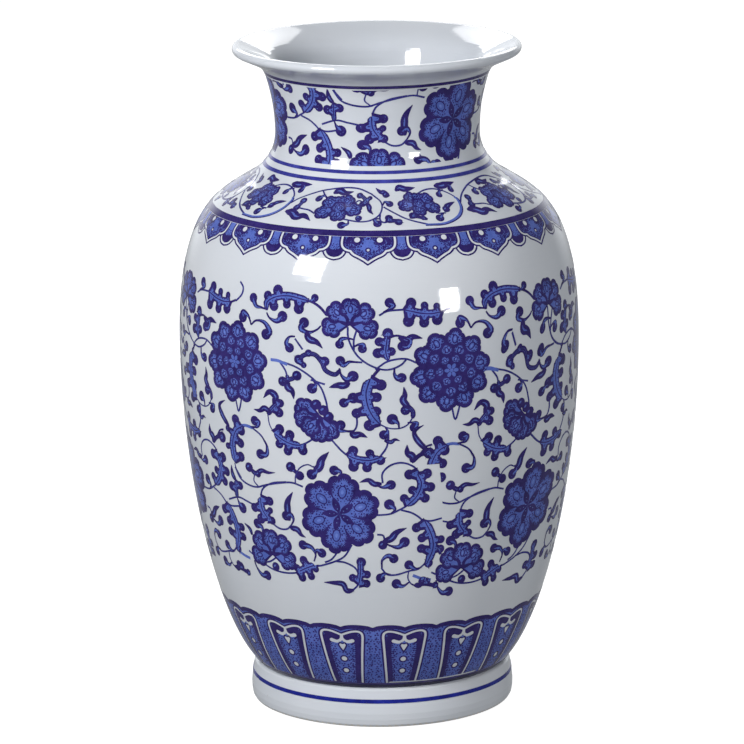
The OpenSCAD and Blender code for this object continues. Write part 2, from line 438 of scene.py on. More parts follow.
def cut(drawing, spacing):
    """Triangles of every ink in a drawing: flat points, corner indices and inks."""
    points = []
    edges = []
    for outline, _ in drawing.shapes:
        outline = fine(outline, spacing)
        first = len(points)
        count = len(outline)
        points.extend(map(Vector, outline.tolist()))
        edges.extend((first + i, first + (i + 1) % count) for i in range(count))
    everything = np.vstack([outline for outline, _ in drawing.shapes])
    low = everything.min(0) - spacing
    high = everything.max(0) + spacing
    for row, y in enumerate(np.arange(low[1], high[1], 0.87 * spacing)):
        for x in np.arange(low[0] + (row % 2) * spacing / 2, high[0], spacing):
            points.append(Vector((x, y)))
    flat, _, corners, _, _, _ = delaunay_2d_cdt(points, edges, [], 0, 1e-4, False)
    flat = np.array([tuple(p) for p in flat])
    corners = np.array(corners)
    centres = flat[corners].mean(1)
    order = np.argsort(centres[:, 0])
    centres = centres[order]
    corners = corners[order]
    inks = np.zeros(len(corners), int)
    for outline, ink in drawing.shapes:
        lo = outline.min(0)
        hi = outline.max(0)
        first, last = np.searchsorted(centres[:, 0], [lo[0], hi[0]])
        near = np.arange(first, last)
        near = near[(centres[near, 1] > lo[1]) & (centres[near, 1] < hi[1])]
        if len(near):
            inks[near[inside(outline, centres[near]) != 0]] = ink
    kept = inks > 0
    return flat, corners[kept], inks[kept]


def film(name, node, wall, pieces, place, inks):
    """One closed film from cut pieces, each given as (cut, move); place turns (u, v) into (theta, z)."""
    points = []
    normals = []
    faces = []
    materials = []
    for (flat, corners, colours), move in pieces:
        used, local = np.unique(corners, return_inverse=True)
        local = local.reshape(corners.shape)
        theta, z = place(move(flat[used]))
        a, b, c = (flat[corners[:, k]] for k in range(3))
        turn = np.cross(b - a, c - a)
        local[turn < 0] = local[turn < 0][:, ::-1]
        first = sum(len(p) for p in points)
        count = len(used)
        points += [on_wall(wall, theta, z, FILM_TOP), on_wall(wall, theta, z, FILM_BOTTOM)]
        out = wall_normals(wall, theta, z)
        normals += [out, -out]
        sides_of = np.concatenate([local[:, [0, 1]], local[:, [1, 2]], local[:, [2, 0]]])
        owner = np.tile(colours, 3)
        key = sides_of.min(1) * count + sides_of.max(1)
        _, where, tally = np.unique(key, return_index=True, return_counts=True)
        rim = where[tally == 1]
        a = sides_of[rim, 0]
        b = sides_of[rim, 1]
        faces += (local + first).tolist()
        faces += (local[:, ::-1] + first + count).tolist()
        faces += (np.stack([a, a + count, b + count, b], -1) + first).tolist()
        materials += [colours, colours, owner[rim]]
    points = np.concatenate(points)
    mesh = bpy.data.meshes.new(name)
    mesh.from_pydata(points.tolist(), [], faces)
    for material in inks:
        mesh.materials.append(material)
    index = np.concatenate(materials) - 1
    mesh.polygons.foreach_set("material_index", index.astype(np.int32))
    mesh.shade_smooth()
    mesh.normals_split_custom_set_from_vertices(np.concatenate(normals).tolist())
    piece = added(name, mesh)
    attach(piece, "root")
    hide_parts(node)


# ---- the drawings

TILE = 110.8          # how far the body scroll runs before it repeats, at the reference radius
BODY_R = 97
NECK_R = 51.5
SHOULDER_R = 80
PETAL_R = 75


def body_scroll():
    """One sheet of the flower scroll for the body."""
    p = Print()
    for path in (
        [(18, 191), (12, 193.5), (4, 192.5), (-2, 188.5)],
        [(-15, 209), (-14.5, 203), (-11, 196), (-6, 191.5), (0, 188.8), (5, 188.5), (10, 190.5),
         (12.5, 193)],
        [(-10.5, 208), (-12, 203), (-12, 198)],
        [(-18, 190), (-14, 192), (-8, 192)],
        [(-49, 190), (-46, 186), (-45, 182.5)],
        [(-47, 190), (-40, 188), (-33, 184), (-28, 179), (-25.5, 172), (-25, 168)],
        [(-33, 182.5), (-26, 180.7)],
        [(-30, 157.5), (-33, 153), (-38, 150), (-42, 149.5)],
        [(-23, 153), (-18, 147.5), (-13, 144.5), (-6, 143.5)],
        [(0, 145.5), (3, 150), (4, 155)],
        [(-39, 128.5), (-45, 130), (-52, 129), (-60, 127), (-66, 125), (-72, 125.5), (-77, 128),
         (-80, 133)],
        [(-48, 130), (-56, 128.5), (-62, 125), (-64, 120), (-63, 114), (-60, 109),
         (-55, 105.5), (-50, 105.5), (-47, 108)],
        [(-88, 115), (-80, 117.5), (-74, 116.5), (-68, 115)],
        [(-4, 115.5), (4, 116), (9, 118), (14, 121), (19, 127), (20, 133), (17, 139), (11, 142),
         (5, 141), (1, 137), (1, 132)],
        [(10, 118), (16, 116), (21, 112), (25, 106), (26.5, 99), (25, 92), (20, 87), (15, 86),
         (8, 84.2), (3, 84.5), (0, 88)],
        [(21, 112.5), (25, 111.5), (31, 112.5)],
        [(-15, 100), (-19, 94), (-24, 91), (-31, 88.5), (-35, 87.5)],
        [(-22, 97), (-26, 92), (-30, 90)],
        [(-24, 91), (-19, 90.5), (-14, 88), (-12, 84), (-12, 80), (-15, 76.5), (-18, 75.5)],
        [(-42, 86), (-47, 83), (-55, 82), (-63, 83), (-70, 86), (-78, 90)],
        [(-58, 90), (-64, 86.5), (-70, 86)],
        [(34.5, 169), (36.5, 162), (39, 170)],
        [(-11, 166), (-11, 161), (-13, 158), (-18, 158)],
        [(-2, 105.5), (1, 105), (2, 102)],
        [(0, 214.5), (4, 216.5), (10, 217), (16, 217)],
        [(34, 216), (37.5, 219.5), (38, 223), (35.5, 225.5)],
        [(-41, 202), (-37, 197)],
    ):
        p.line(path, STEM, LINE)
    for path in (
        [(-54, 190.5), (-50, 190.4), (-45, 189)],
        [(-74, 155), (-70, 155.6), (-66, 155)],
        [(-88, 89), (-83, 87), (-78, 86)],
    ):
        p.line(path, 1.5, MID)

    p.line([(-40, 221), (-34, 220.4), (-29, 218), (-25, 214)], 1.3)
    p.leaf([(-57, 214), (-57, 218), (-52, 221), (-45, 222), (-38, 221), (-34, 220.4)],
           [(-57, 221, 2.2), (-51.5, 224, 2.6), (-53, 216.5, 2.3), (-46, 218, 2), (-39.5, 216.5, 2.5)])
    p.comma([(-36, 220.6), (-33.5, 220.4), (-31.5, 222)], 1.8)
    p.comma([(-57, 214.5), (-60, 215), (-63.5, 215.5), (-65.5, 219)], 2.2)
    p.comma([(-57, 213), (-55, 210.5), (-51, 209.5), (-48, 212)], 2.5)
    p.comma([(2, 216), (5, 217.5), (7, 219), (5, 220.5)], 2.2)
    p.line([(28, 214.6), (31, 215.2), (34, 216.5)], 1.1)
    p.leaf([(12, 217), (16, 216), (20, 215), (25, 214.5), (30, 215)],
           [(15.5, 220, 2.4), (22, 218.5, 1.8), (28, 217.8, 1.6), (14, 211.5, 2.6), (21.5, 210.5, 2.3),
            (28, 211.5, 2.5)], 3.8)
    p.comma([(-28, 209), (-30, 207), (-34, 205.5), (-38, 207), (-36.5, 210)], 2.4)
    p.flame([(-35, 206), (-34, 202.5), (-30, 201), (-27, 198.2)])

    # the bird-like leaf
    p.comma([(-41, 203), (-44, 202.5), (-45.5, 199.5), (-43.8, 197.3)], 2.2)
    p.leaf([(-40, 191), (-36, 194.5), (-31, 195), (-27.5, 191.5), (-25.5, 187.5), (-21, 185.8),
            (-18.5, 188.5)],
           [(-39, 192, 2.2), (-36.5, 189.5, 1.4), (-34, 195.5, 1.7), (-26, 192, 2.2)], 2.2)
    p.comma([(-10, 192), (-14, 192.2), (-17, 190.5), (-18.5, 192.6)], 2.2)
    p.comma([(-19, 189), (-18, 185.5), (-15.5, 183.5), (-12.5, 185.2)], 2.5)
    p.flame([(-14, 182), (-17, 180.5), (-20, 180.5), (-24, 179.3)])
    p.leaf([(4, 193), (3, 197), (3.5, 202), (4, 205)],
           [(4, 206, 2.4), (0, 202, 2.1), (-0.8, 196.5, 2.3), (5.6, 197.2, 2)], 3.2)
    p.line([(4, 203.5), (8, 204.8), (12, 203.8)], 1.1)
    p.flame([(9, 204), (13, 202.5), (16, 204), (20.5, 203)])
    p.comma([(9, 204), (14.5, 202.5), (13.5, 199.5), (10.8, 199.6)], 2.2)
    p.comma([(-12, 203), (-15, 203.5), (-18, 203), (-18.8, 200.5)], 2)
    p.comma([(-12, 199.5), (-10, 200.5), (-7.5, 200.5), (-8, 198.6)], 2)
    p.comma([(45, 206), (43, 210), (39.5, 211.5), (39.5, 209)], 2.4)
    p.comma([(45, 206), (48, 208.5), (53, 208), (56, 204), (54, 202.5)], 2.5)
    p.comma([(7, 189.5), (7, 186), (8.5, 184), (10.3, 184.3)], 2.2)

    # the great centre leaf and the tendrils at its foot
    p.line([(0, 189), (-2.5, 186), (-4.6, 182.5)], 1.5)
    p.leaf([(-4.4, 184), (-5.6, 180.5), (-6.5, 176), (-5.5, 170), (-3, 165), (0, 161.5)],
           [(-12.5, 174.5, 2.5), (-11, 167, 2.3), (0.5, 181, 2.6), (-1.5, 175, 2.3), (-1.8, 168, 2.3),
            (-5, 161, 2.6)], 5)
    p.comma([(-10, 174), (-14, 173.5), (-17, 172)], 2.2)
    p.line([(0, 161.5), (4, 159.6), (9, 159.3), (13, 161), (15.5, 164.5)], TWIG, LINE)
    p.leaf([(15.5, 164), (15.5, 167.5), (13, 170.5), (11.2, 174)], [(12, 168.2, 2.2)], 2.2)
    p.flame([(14, 169), (11, 173), (11.8, 176), (11.3, 179.8)])
    p.comma([(9, 159.4), (8.5, 162), (5.8, 164)], 2.5)
    p.comma([(13, 162), (15, 162), (17.5, 161.5), (16.2, 159.5)], 2.1)
    p.comma([(2.5, 160), (3.5, 158), (1.8, 156.3)], 2.2)
    p.line([(4, 158), (4, 155), (3, 153.5)], TWIG, LINE)
    p.flame([(2, 153.6), (5, 152.6), (7, 153.8), (9.3, 153.2)], 1.8)
    p.comma([(-13, 158.2), (-16, 158), (-19.5, 158.5), (-18.7, 161)], 2.2)
    p.flame([(-13.5, 158.5), (-12.5, 156), (-9.5, 156.5), (-6, 155)], 2.8)

    p.bulb(-47.5, 180.5, 2.3)
    p.bulb(-40, 184, 2.3)
    p.leaf([(-48, 180.5), (-44.5, 181.5), (-41, 183)], [(-45, 183, 1)], 2.2)
    p.flame([(-45, 181.5), (-45, 178), (-42.5, 176), (-41.8, 172.3)], 3)
    p.comma([(-31.5, 182), (-30.5, 180), (-32.4, 178.3)], 2.4)
    p.flame([(-53, 168.5), (-51.5, 172.5), (-55, 174.5), (-58.5, 171)], 3)
    p.leaf([(-56.5, 163), (-54, 166), (-51, 169)], [(-49.2, 169.5, 2), (-50, 164.8, 2.3)], 2.6)
    p.flame([(-54.5, 164), (-58, 166), (-61, 164.4), (-64.5, 164.6)], 2.4)
    p.line([(-56.3, 163), (-55.5, 158), (-53, 154)], 0.62, LINE)
    p.leaf([(-53, 154), (-48, 151), (-43, 149.5), (-39, 149.5)],
           [(-50, 156.5, 2.4), (-44.5, 154.2, 2.3), (-50.5, 149, 2.1), (-46, 146, 2.2),
            (-38, 147, 2.3)], 3.8)
    p.leaf([(-16, 146), (-11, 144), (-5, 143.5), (0, 145)],
           [(-13, 148.3, 2.3), (-5, 147, 2), (0, 143.5, 2.2), (-13, 140.2, 2.4), (-6.5, 139.8, 2.2)], 3.6)
    p.bulb(-45, 138, 2.4)
    p.bulb(-40.3, 134, 2.2)
    p.leaf([(-45, 138), (-42, 135.5), (-40, 134)], [(-43.5, 136.5, 1)], 1.9)
    p.line([(-43, 130), (-42.5, 134), (-40, 138), (-36, 140), (-33, 139)], TWIG, LINE)
    p.flame([(-33, 137), (-30, 139), (-28.5, 143), (-24.8, 147.2)], 3.4)
    p.comma([(-33, 139.5), (-31.5, 137), (-34, 135.2)], 2.5)
    p.comma([(-19, 134), (-19.5, 137.5), (-22.5, 138)])

    # the tall leaf down the left-hand edge, with its curl and its antenna
    p.leaf([(-72, 155), (-77, 152), (-80, 146), (-80, 140), (-79, 135)],
           [(-77, 157.5, 2.4), (-73.5, 152.5, 2.4), (-74.5, 146, 2.3), (-75, 139, 2.4), (-83, 152, 1.6),
            (-84, 143, 1.6)], 4.2)
    p.line([(-80, 135), (-79, 132), (-76, 128)], TWIG, LINE)
    p.line([(-66, 155), (-61, 152), (-58.3, 148)], 0.9, LINE)
    p.comma([(-60, 151), (-57.8, 147), (-58.3, 142.8), (-62, 142.4)], 2.4)
    p.comma([(-67, 155.4), (-63, 156), (-62, 158.5), (-64.3, 158.8)])
    p.flame([(-82, 153), (-87, 158.5), (-88.5, 163), (-84, 166)], 2.4)
    p.bulb(-70, 134.5, 2.3)
    p.flame([(-70, 134.5), (-66, 132), (-62, 134), (-58, 133.5), (-54, 134)], 2.2)
    p.bulb(-64.5, 131.8, 1.6)
    p.line([(-66.5, 132), (-67.5, 128), (-65, 125.5)], TWIG, LINE)
    p.flame([(-80.5, 126), (-82.5, 129), (-82.8, 133.5)], 2.2)
    p.leaf([(-81, 117), (-81, 121), (-80.5, 126)], [(-84, 122.5, 2.3), (-77.8, 123.8, 2.1)], 2.6)
    p.comma([(-81, 117), (-80, 114.5), (-77.8, 112.3)], 2.6)
    p.leaf([(-64.5, 120), (-64, 114), (-61, 109.5)],
           [(-58.8, 118.8, 2.2), (-59, 114, 1.6), (-58.5, 108.8, 2), (-69, 114, 2.2),
            (-65.5, 108.8, 2.4)], 4)
    p.flame([(-48, 110), (-48.5, 115), (-48, 120), (-44.8, 125.2)], 3.2)
    p.comma([(-47, 108), (-45.5, 111), (-47, 113.5), (-49.7, 112.4)])
    p.flame([(-48, 106.4), (-44, 106), (-42, 103.5), (-39.5, 102.3)], 2.6)

    # the lower edge
    p.flame([(-73.5, 99), (-74.5, 102), (-78, 104.4)], 1.8)
    p.comma([(-66, 100), (-65.5, 104), (-68.5, 105.8)], 2.4)
    p.comma([(-36, 90), (-34.8, 94), (-37, 97.5), (-41.5, 98.2)])
    p.comma([(-35, 93), (-34, 96), (-31.3, 94.8)])
    p.leaf([(-45, 84), (-41, 86), (-36, 88)],
           [(-42, 90, 2.2), (-46.5, 85.5, 2), (-44, 80.8, 2.2), (-38.5, 82, 2), (-35.5, 86, 1.7)], 3.8)
    p.leaf([(-11, 92), (-11, 86), (-12, 80)],
           [(-10.5, 91, 2.4), (-15.3, 82.5, 2), (-7.7, 84.5, 2), (-8, 79.6, 2)], 3.2)
    p.flame([(-15, 76), (-19, 75.6), (-21, 79), (-26, 79.4), (-31.5, 79.3)], 2.6)
    p.bulb(0.8, 100, 2.2)
    p.flame([(1, 102), (5, 103.2), (8, 106.5), (13, 108.6)], 3)
    p.comma([(2, 101), (5, 99.5), (9, 98.8), (12, 101.3)], 2.5)
    p.comma([(5, 116.2), (7, 118.5), (4.2, 121)], 2.5)
    p.leaf([(13, 120), (18, 125), (20, 131), (18, 136)],
           [(14, 136, 2.4), (15.5, 128, 2), (11.5, 124, 2), (22.6, 136, 2.4), (24.5, 129, 2.3),
            (22, 123.5, 2.2)], 4)
    p.flame([(0.5, 131.6), (-3, 131.5), (-6, 133.5), (-10.2, 132.3)], 2.4)
    p.comma([(-2, 131), (1, 129.8), (5, 131)])
    p.flame([(15, 142), (15.5, 145), (13, 147), (12.8, 151)], 3)
    p.leaf([(15, 142), (19, 145.5), (23, 146.5)], [(23.5, 146.3, 2.6)], 2)
    p.line([(19, 145.8), (22, 149.5), (25, 150.5)], 1)

    # the tall leaf down the right-hand edge
    p.leaf([(22, 112), (26, 104), (27, 97), (24, 89)],
           [(18, 108.5, 2.3), (21, 103, 2.2), (20.8, 97.5, 2.2), (31, 101.5, 2), (31, 96.5, 2.1),
            (25, 89.5, 2.2)], 4.2)
    p.comma([(0.3, 88), (0.5, 92), (3.5, 94.3), (6.5, 92.8)])
    p.comma([(5, 84.3), (1.5, 84.8), (-0.5, 82.6)])
    p.comma([(21, 87.5), (18, 87), (14.5, 89.2)])
    p.line([(14.5, 86), (14.2, 82), (16, 79)], TWIG, LINE)
    p.comma([(15, 80), (11.5, 78), (8, 79.4)], 2.4)
    p.comma([(16, 79), (20, 77.5), (22.5, 80)], 2.4)
    p.leaf([(18, 78.5), (24, 78.5), (30, 77)], [(24.5, 79.8, 2), (29.5, 77.5, 1.7)], 2)
    p.comma([(-75, 85.5), (-74, 82), (-71, 78.5), (-67, 78.8)], 2.4)
    p.bulb(-60, 84.5, 2.2)

    p.fan(-14, 209.8, 88, 12.6)
    for x, y, r in ((-30.5, 170.5, 2.4), (-27, 167.8, 2.5), (-24.5, 164.8, 2.4), (-22.2, 161, 2.2)):
        p.bulb(x, y, r)
    p.fan(-28.6, 165.2, 229, 12.4, 35)
    p.fan(-61, 90.5, 90, 13.4)
    p.peony(34.5, 186.5, 20.5)
    p.lotus(-20.8, 115.8, 20.8)
    return p


def shoulder_scroll():
    """One repeat of the vine on the shoulder: two medallions, with a flower in each."""
    p = Print()
    for path in (
        [(-52, 34.4), (-48.5, 38.5), (-43, 42.3), (-35, 45.6), (-22, 47.8), (-12, 47.4), (-4, 44.2)],
        [(-4, 44.2), (1, 39.5), (2.2, 35), (0.6, 29.5), (-4, 25.8), (-10, 25), (-18, 26.5)],
        [(3, 35), (8, 31), (15, 26), (25, 22)],
        [(25, 43.5), (30, 45.4), (36, 45.8), (42, 44), (46.4, 40.4), (48.4, 36)],
        [(-46, 32), (-42, 31.5), (-38, 31), (-34, 29)],
        [(-36, 45), (-33, 42), (-30, 40)],
        [(-14, 37), (-11, 39.5), (-8, 37)],
        [(1, 30), (1, 26), (3, 24.5), (6, 25.5)],
        [(30, 33), (31, 29), (36, 28.5)],
    ):
        p.line(path, STEM, LINE)
    p.line([(23, 22), (33, 22), (41, 25), (46, 30), (47.9, 36), (47.2, 38.6)], 1.4, MID)
    p.line([(23, 21.8), (33, 21.4), (42, 24.6), (47, 30), (48.7, 36), (48.2, 38)], 0.6)
    p.flame([(-28.5, 44), (-25, 45.8), (-20.5, 44.4), (-15.5, 45.6)], 3.4)
    p.bulb(-36, 39.5, 2.1)
    p.comma([(-31, 40), (-33.5, 42), (-36, 39.8)], 2)
    p.leaf([(-47, 31), (-45.5, 34), (-44.8, 37)], [(-44.8, 37, 2), (-46.2, 32, 2)], 2.4)
    p.flame([(-51.5, 28.8), (-47, 28.4), (-43, 26), (-39, 27), (-34.5, 24.2)], 4)
    p.comma([(-11, 26), (-10.5, 28), (-10, 27.2)], 1.7)
    p.comma([(-15, 25.4), (-15, 23.4), (-18, 22.6)], 2)
    p.leaf([(-11, 43.5), (-8, 41), (-5.6, 37)],
           [(-11.2, 43, 1.9), (-4.8, 41.4, 1.4), (-8.8, 37, 1.9)], 2.4)
    p.flame([(-6.5, 38), (-5, 35), (-4.6, 32.5), (-2.6, 29.8)], 2.4)
    p.comma([(2.5, 36), (4, 38.5), (6.6, 37)], 2)
    p.flame([(7, 42.5), (4, 45), (1.5, 45.5), (-1.5, 48)], 2.6)
    p.bulb(4.8, 43.6, 2)
    p.flame([(11, 46), (14, 47.8), (18, 46.8), (24.5, 47.4)], 3.2)
    p.comma([(1, 27), (-2, 26.5), (-0.4, 23.8)], 2)
    p.leaf([(4.5, 25), (8, 25.5), (12, 25)], [(5.4, 27.4, 1.9), (10, 24.6, 1.9)], 2.2)
    p.leaf([(16, 27), (20, 27.4), (25, 25.4)], [(18, 28.4, 2), (23, 26.4, 1.4)], 2)
    p.comma([(35, 28.6), (33.5, 27.5), (31.6, 25.6)], 2.1)
    p.flame([(36, 29), (38.5, 32.5), (41, 34), (45, 35.2)], 2.6)
    p.bulb(37.4, 31, 2)
    p.comma([(43, 44.4), (40, 43.8), (38.4, 41.4)], 1.9)
    p.flame([(38, 47.2), (43, 47), (47, 47.4), (54.5, 48.2)], 3.4)
    p.comma([(46, 47.4), (49.5, 46.4), (48.6, 44)], 1.9)
    outer = ((150, 1.42), (98, 0.8), (50, 1.25), (-6, 1.75), (-80, 0.94), (204, 1.75))
    for x, y, across, head in ((-22, 34, 1, 4.9), (23.2, 36.4, -1, 4.5)):
        p.fill(disc(x, y, 6, 20))
        for stage in ("dark", "blue"):
            for heading, reach in outer:
                p.petal(x, y, 90 + across * (heading - 90), reach * head, head, 1.35, 4, 24, stage)
        for stage in ("dark", "blue"):
            p.petal(x, y - 2, 90, 0.45 * head, 0.9 * head, 1.35, 4, 18, stage)
    return p


def collar(count, around):
    """The lappets that hang from the line below the shoulder, with a drop between each pair."""
    p = Print()
    pitch = around / count
    lobe = smooth_path([(0.0, 3.9), (1.6, 5.1), (3.7, 6.4), (5.9, 7.6), (7.4, 9.3)], 4)
    shoulder = smooth_path([(7.6, 9.4), (9.5, 9.9), (10.9, 11.3), (11.3, 13.6), (11.1, 17.0)], 4)
    lappet = mirrored(np.vstack([lobe, shoulder]))
    core = lappet * (0.62, 0.56) + (0, 5.2)
    drop = mirrored(smooth_path([(0, 5.6), (2.2, 6.3), (3.6, 8.2), (3.9, 11), (3.7, 17)], 4))
    middle = pitch / 2
    for by, ink in ((1.8, DARK), (1.05, NONE), (0.15, DARK)):
        p.fill(grown(drop, by) + (middle, 0), ink)
    p.fill(drop * (0.8, 0.7) + (middle, 5.2), MID)
    p.stipple((middle - 2.6, 8.6), (middle + 2.8, 12.4), 0.95, 0.3)
    for by, ink in ((1.85, DARK), (1.1, NONE), (0.15, DARK)):
        p.fill(grown(lappet, by), ink)
    p.fill(lappet * (0.93, 0.92) + (0, 0.85), MID)

    def shaded(x, y):
        """Within the lappet but off its light core."""
        at = np.array([(x, y)])
        return inside(lappet * (0.95, 0.95) + (0, 0.6), at)[0] != 0 and inside(core, at)[0] == 0

    p.stipple((-11, 4.5), (11, 16), 0.85, 0.38, shaded)
    p.stipple((-6, 8), (6, 13), 1.6, 0.2, lambda x, y: abs(x) > 1.8)
    for side in (-1, 1):
        p.fill(oval(side * 8.9, 14.4, 2.6, 1.1, side * -66))
        p.fill(oval(side * 5.2, 16.2, 4.4, 1.1, 0))
        p.stipple((side * 6 - 4, 10.6), (side * 6 + 4, 16), 0.9, 0.38,
                  lambda x, y: math.hypot(x - side * 6, y - 13.8) < 3.9)
        p.fill(disc(side * 5.3, 14.1, 2.4, 16))
        p.fill(disc(side * 5.1, 14.5, 1.35, 14), NONE)
    p.fill(disc(0, 9.3, 1.35, 12))
    p.fill(disc(0, 9.3, 0.65, 10), NONE)
    band = Print()
    band.row(p, count, pitch)
    reach = around / 2 + pitch
    band.fill([(-reach, 16.2), (reach, 16.2), (reach, 22), (-reach, 22)], NONE)
    return band


def petals_band(count, around):
    """The upright petals round the foot of the body, standing on a dark band."""
    p = Print()
    pitch = around / count
    half = pitch / 2
    across = np.linspace(-half, half, 17)
    top = np.stack([across, 40.2 + 1.5 * np.abs(np.sin(2 * math.pi * across / pitch)) ** 0.6], -1)
    p.fill(np.vstack([[(-half, 3), (half, 3)], top[::-1]]), MID)
    p.fill(np.vstack([top - (0, 2.3), top[::-1]]))
    right = [(8.3, 2), (9.4, 18), (10.3, 31), (10.5, 35), (9.9, 37.2), (8.0, 38.4), (5.0, 38.2),
             (2.3, 37.2), (0, 36.1)]
    panel = mirrored(smooth_path(right, 3))
    p.fill(grown(panel, 0.85))
    p.fill(panel, NONE)
    p.fill(grown(panel, -1.15))
    p.fill(mirrored([(4.5, 3.5), (5.2, 14), (6.1, 26), (6.2, 30), (4.4, 31.2), (0, 32)]), MID)
    for side in (-1, 1):
        for y in np.arange(6.5, 31, 1.2):
            edge = 4.6 + 0.06 * (y - 5)
            within = (side * (edge - rng.uniform(0.5, 1.3)), y + rng.uniform(0, 1))
            p.dots([(side * (edge + 0.1), y), within], 0.5)
        curl = smooth_path([(0, 36.2), (0.1, 34.4), (0.6, 32.7), (2.4, 31.5), (4.8, 32.1)])
        p.fill(ribbon(curl * (side, 1), [1.6, 1.3, 1.5, 1.9, 2.1]), NONE)
        p.fill(disc(side * 4.9, 32.2, 1.1, 12), NONE)
        p.dots([(side * rng.uniform(7.6, 8.6), rng.uniform(34.5, 36.5)) for _ in range(4)], 0.2, MID)
    drop = mirrored([(0.0, 26.2), (0.8, 27.6), (1.6, 29.4), (1.1, 30.3), (0, 29.9)])
    p.fill(grown(drop, 0.8))
    p.fill(drop, NONE)
    for y in (20.9, 13.1):
        p.fill(disc(0, y, 2.25, 16))
        p.fill(disc(0, y, 1.4, 14), NONE)
    p.stipple((-4.6, 4.6), (4.8, 30.5), 1.45, 0.46,
              lambda x, y: abs(x) > 2.5 or min(abs(y - 20.9), abs(y - 13.1), abs(y - 28.4)) > 2.8)
    for side in (-1, 1):
        p.stipple((side * half - 5, 4.6), (side * half + 5, 38), 1.5, 0.48,
                  lambda x, y: abs(x) < half - 0.4 and abs(x) > 9.9 + 0.063 * (y - 5))
    p.stipple((-half + 0.5, 37.4), (half - 0.5, 40), 1.0, 0.42,
              lambda x, y: y > 39.4 - 0.2 * abs(abs(x) - 5))
    p.fill([(-half, 0.3), (half, 0.3), (half, 4.2), (-half, 4.2)])
    band = Print()
    band.row(p, count, pitch)
    # A thin strip bare of ink above the dark band, across the front only: a painted highlight line
    band.fill([(-22, 4.2), (32, 4.2), (34, 5.3), (-21, 5.1)], NONE)
    return band


# ---- materials

def shader(name, base, roughness):
    """A glazed ceramic shader with its node tree, ready for a colour."""
    material = bpy.data.materials.new(name)
    material.use_nodes = True
    tree = material.node_tree
    main = tree.nodes["Principled BSDF"]
    main.inputs["Base Color"].default_value = (*base, 1)
    main.inputs["Roughness"].default_value = roughness
    main.inputs["IOR"].default_value = 1.5
    return material, tree, main


def noise(tree, place, scale, detail, rough=0.5):
    """A noise pattern's value."""
    node = tree.nodes.new("ShaderNodeTexNoise")
    node.inputs["Scale"].default_value = scale
    node.inputs["Detail"].default_value = detail
    node.inputs["Roughness"].default_value = rough
    tree.links.new(place, node.inputs["Vector"])
    return node.outputs["Fac"]


def ramp(tree, value, stops):
    """A colour ramp from (position, colour) stops."""
    node = tree.nodes.new("ShaderNodeValToRGB")
    marks = node.color_ramp.elements
    while len(marks) < len(stops):
        marks.new(0.5)
    for mark, (position, colour) in zip(marks, stops):
        mark.position = position
        mark.color = (*colour, 1)
    tree.links.new(value, node.inputs["Fac"])
    return node.outputs["Color"]


def mixed(tree, factor, a, b):
    """Two colours mixed; the factor is a socket or a number."""
    node = tree.nodes.new("ShaderNodeMix")
    node.data_type = "RGBA"
    if isinstance(factor, float):
        node.inputs["Factor"].default_value = factor
    else:
        tree.links.new(factor, node.inputs["Factor"])
    tree.links.new(a, node.inputs[6])
    tree.links.new(b, node.inputs[7])
    return node.outputs[2]


def bump(tree, height, strength, distance):
    """A bump in the surface, in metres."""
    node = tree.nodes.new("ShaderNodeBump")
    node.inputs["Strength"].default_value = strength
    node.inputs["Distance"].default_value = distance
    tree.links.new(height, node.inputs["Height"])
    return node


def glaze_surface(tree, main, place):
    """The glaze's faint waves from throwing and firing, and its fine orange peel."""
    waves = bump(tree, noise(tree, place, 22, 1), 0.35, 0.0006)
    peel = bump(tree, noise(tree, place, 900, 2), 0.08, 0.00005)
    tree.links.new(waves.outputs["Normal"], peel.inputs["Normal"])
    tree.links.new(peel.outputs["Normal"], main.inputs["Normal"])


def object_place(tree):
    """Coordinates that ride on the piece."""
    return tree.nodes.new("ShaderNodeTexCoord").outputs["Object"]


def porcelain():
    """Cool white body under a clear glaze, clouded a little and with a few iron specks."""
    material, tree, main = shader("porcelain_glazed", (0.62, 0.65, 0.70), 0.07)
    place = object_place(tree)
    black = (0, 0, 0)
    clouds = noise(tree, place, 14, 4)
    specks = noise(tree, place, 520, 2)
    cloud = ramp(tree, clouds, [(0.3, (0.60, 0.635, 0.69)), (0.7, (0.66, 0.685, 0.73))])
    speck = ramp(tree, specks, [(0.0, black), (0.80, black), (0.84, (1, 1, 1))])
    iron = ramp(tree, noise(tree, place, 60, 2), [(0.0, (0.30, 0.28, 0.27)), (1.0, (0.36, 0.36, 0.40))])
    tree.links.new(mixed(tree, speck, cloud, iron), main.inputs["Base Color"])
    glaze_surface(tree, main, place)
    return material


def bare_porcelain():
    """Unglazed, slightly toasted porcelain for the foot's edge and its joints."""
    material, tree, main = shader("porcelain_bare", (0.62, 0.6, 0.56), 0.55)
    place = object_place(tree)
    tone = ramp(tree, noise(tree, place, 45, 5), [(0.3, (0.56, 0.54, 0.50)), (0.7, (0.67, 0.65, 0.62))])
    tree.links.new(tone, main.inputs["Base Color"])
    grit = bump(tree, noise(tree, place, 1500, 3), 0.3, 0.0001)
    tree.links.new(grit.outputs["Normal"], main.inputs["Normal"])
    return material


def cobalt(name, thin, full, grain, specular=0.5):
    """Cobalt under the glaze: it pools and thins, and its grain shows."""
    material, tree, main = shader(name, full, 0.07)
    main.inputs["Specular IOR Level"].default_value = specular
    place = object_place(tree)
    pools = ramp(tree, noise(tree, place, 130, 4, 0.6), [(0.32, thin), (0.62, full)])
    grains = ramp(tree, noise(tree, place, grain, 2), [(0.35, full), (0.6, thin)])
    tree.links.new(mixed(tree, 0.35, pools, grains), main.inputs["Base Color"])
    glaze_surface(tree, main, place)
    return material


# ---- the object

